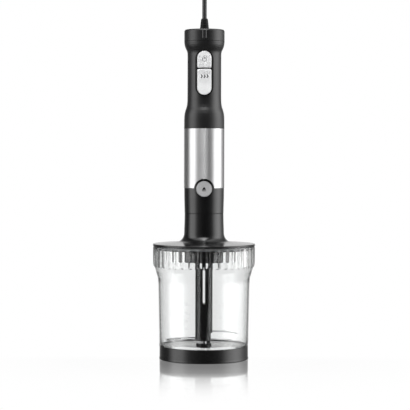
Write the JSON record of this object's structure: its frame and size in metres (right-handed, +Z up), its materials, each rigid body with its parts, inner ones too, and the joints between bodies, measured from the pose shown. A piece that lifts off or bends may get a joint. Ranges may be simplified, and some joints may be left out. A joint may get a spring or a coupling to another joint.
{
  "type": "immersion blender",
  "caption": "Hand blender motor unit on a chopper attachment: gear lid, clear fluted bowl, two-level blade unit, push buttons, speed dial and mains lead.",
  "frame": {"origin": "centre of the foot ring's resting face, which is the bottom centre of the box of the object without its lead", "axes": "+Z up along the motor axis, -Y the front with the buttons"},
  "size_m": [0.1433, 0.2512, 0.5591],
  "materials": {
    "clear_plastic": "clear, glossy, moulded",
    "foot_rubber": "semi-gloss black elastomer",
    "black_plastic": "fine-textured black",
    "black_gloss": "glossy black",
    "soft_touch": "soft-touch black",
    "inner_plastic": "grey glass-filled",
    "fan_plastic": "off-white",
    "gear_nylon": "natural nylon",
    "silicone": "translucent grey",
    "circuit_laminate": "green laminate",
    "capacitor_film": "yellow film capacitor",
    "satin_silver": "satin silver lacquer",
    "light_grey": "satin light grey",
    "brushed_steel": "brushed round the sleeve",
    "blade_steel": "ground",
    "steel": "turned",
    "zinc_screw": "zinc plated",
    "nickel_pin": "nickel plated",
    "bronze": "sintered bronze",
    "copper_wire": "enamelled copper",
    "lamination": "stacked laminations",
    "carbon": "carbon",
    "lead_rubber": "matt dark grey",
    "tie_strap": "woven strap",
    "plug_plastic": "moulded black"
  },
  "bodies": {
    "bowl": {"bowl": "clear_plastic", "foot_ring": "foot_rubber", "pin_seat": "black_plastic", "blade_pin": "steel"},
    "blade_unit": {"blade_hub": "black_plastic", "upper_blade": "blade_steel", "lower_blade": "blade_steel", "hub_bush": "bronze"},
    "lid": {"lid_cover": "black_gloss", "lid_base": "black_gloss", "lid_seal": "silicone", "ring_gear": "gear_nylon", "gearbox_cap": "inner_plastic", "gearbox_screws": "zinc_screw", "input_bush": "bronze", "neck_spigot": "black_plastic"},
    "input_drive": {"input_shaft": "steel", "sun_gear": "steel"},
    "carrier": {"planet_carrier": "gear_nylon", "planet_pins": "steel"},
    "planet_a": {"planet_gear_a": "gear_nylon"},
    "planet_b": {"planet_gear_b": "gear_nylon"},
    "planet_c": {"planet_gear_c": "gear_nylon"},
    "motor_unit": {"upper_housing": "soft_touch", "steel_sleeve": "brushed_steel", "lower_collar": "black_plastic", "button_bezel": "black_gloss", "button_pad": "silicone", "circuit_board": "circuit_laminate", "micro_switches": "inner_plastic", "capacitor": "capacitor_film", "lower_bracket": "inner_plastic", "upper_bracket": "inner_plastic", "motor_bearings": "steel", "motor_screws": "zinc_screw", "stator_core": "lamination", "field_coils": "copper_wire", "brush_holders": "bronze", "carbon_brushes": "carbon", "head_frame": "black_plastic", "speed_track": "circuit_laminate", "strain_relief": "lead_rubber", "cord_tube": "lead_rubber", "cord_coil": "lead_rubber", "cord_tail": "lead_rubber", "cord_tie": "tie_strap", "plug_body": "plug_plastic", "plug_pins": "nickel_pin"},
    "rotor": {"motor_shaft": "steel", "armature_core": "lamination", "armature_windings": "copper_wire", "commutator": "copper_wire", "cooling_fan": "fan_plastic", "drive_coupling": "inner_plastic"},
    "dial": {"speed_dial": "black_plastic", "dial_wiper": "bronze"},
    "power_button": {"power_button": "satin_silver"},
    "turbo_button": {"turbo_button": "satin_silver"},
    "release_button": {"release_button": "light_grey"},
    "latch": {"release_latch": "steel"}
  },
  "joints": [
    {"name": "lid_lift", "type": "slide", "parent": "bowl", "child": "lid", "axis": [0, 0, 1], "range_m": [0, 0.12]},
    {"name": "motor_unit_lift", "type": "slide", "parent": "lid", "child": "motor_unit", "axis": [0, 0, 1], "range_m": [0, 0.06]},
    {"name": "blade_spin", "type": "hinge", "parent": "bowl", "child": "blade_unit", "pos_m": [0, 0, 0.03], "axis": [0, 0, 1], "continuous": true},
    {"name": "input_spin", "type": "hinge", "parent": "lid", "child": "input_drive", "pos_m": [0, 0, 0.165], "axis": [0, 0, 1], "continuous": true},
    {"name": "carrier_spin", "type": "hinge", "parent": "lid", "child": "carrier", "pos_m": [0, 0, 0.142], "axis": [0, 0, 1], "continuous": true},
    {"name": "planet_a_spin", "type": "hinge", "parent": "carrier", "child": "planet_a", "pos_m": [0, 0.015, 0.154], "axis": [0, 0, 1], "continuous": true},
    {"name": "planet_b_spin", "type": "hinge", "parent": "carrier", "child": "planet_b", "pos_m": [-0.01299, -0.0075, 0.154], "axis": [0, 0, 1], "continuous": true},
    {"name": "planet_c_spin", "type": "hinge", "parent": "carrier", "child": "planet_c", "pos_m": [0.01299, -0.0075, 0.154], "axis": [0, 0, 1], "continuous": true},
    {"name": "motor_spin", "type": "hinge", "parent": "motor_unit", "child": "rotor", "pos_m": [0, 0, 0.25], "axis": [0, 0, 1], "continuous": true},
    {"name": "speed_dial_turn", "type": "hinge", "parent": "motor_unit", "child": "dial", "pos_m": [0, 0, 0.45], "axis": [0, 0, 1], "range_deg": [-135, 135]},
    {"name": "power_button_press", "type": "slide", "parent": "motor_unit", "child": "power_button", "axis": [0, 1, 0], "range_m": [0, 0.002], "stiffness_N_per_m": 600, "springref_m": -0.001, "deforming": ["button_pad"]},
    {"name": "turbo_button_press", "type": "slide", "parent": "motor_unit", "child": "turbo_button", "axis": [0, 1, 0], "range_m": [0, 0.002], "stiffness_N_per_m": 600, "springref_m": -0.001, "deforming": ["button_pad"]},
    {"name": "release_button_press", "type": "slide", "parent": "motor_unit", "child": "release_button", "axis": [0, 1, 0], "range_m": [0, 0.002], "stiffness_N_per_m": 900, "springref_m": -0.001},
    {"name": "latch_rock", "type": "hinge", "parent": "motor_unit", "child": "latch", "pos_m": [0, -0.024, 0.225], "axis": [1, 0, 0], "range_deg": [-6.5, 0]}
  ],
  "couplings": [
    {"joint": "input_spin", "follows": "motor_spin", "ratio": 1},
    {"joint": "carrier_spin", "follows": "motor_spin", "ratio": 0.2},
    {"joint": "blade_spin", "follows": "motor_spin", "ratio": 0.2},
    {"joint": "planet_a_spin", "follows": "motor_spin", "ratio": -0.53333},
    {"joint": "planet_b_spin", "follows": "motor_spin", "ratio": -0.53333},
    {"joint": "planet_c_spin", "follows": "motor_spin", "ratio": -0.53333},
    {"joint": "latch_rock", "follows": "release_button_press", "rad_per_m": -55.556}
  ]
}
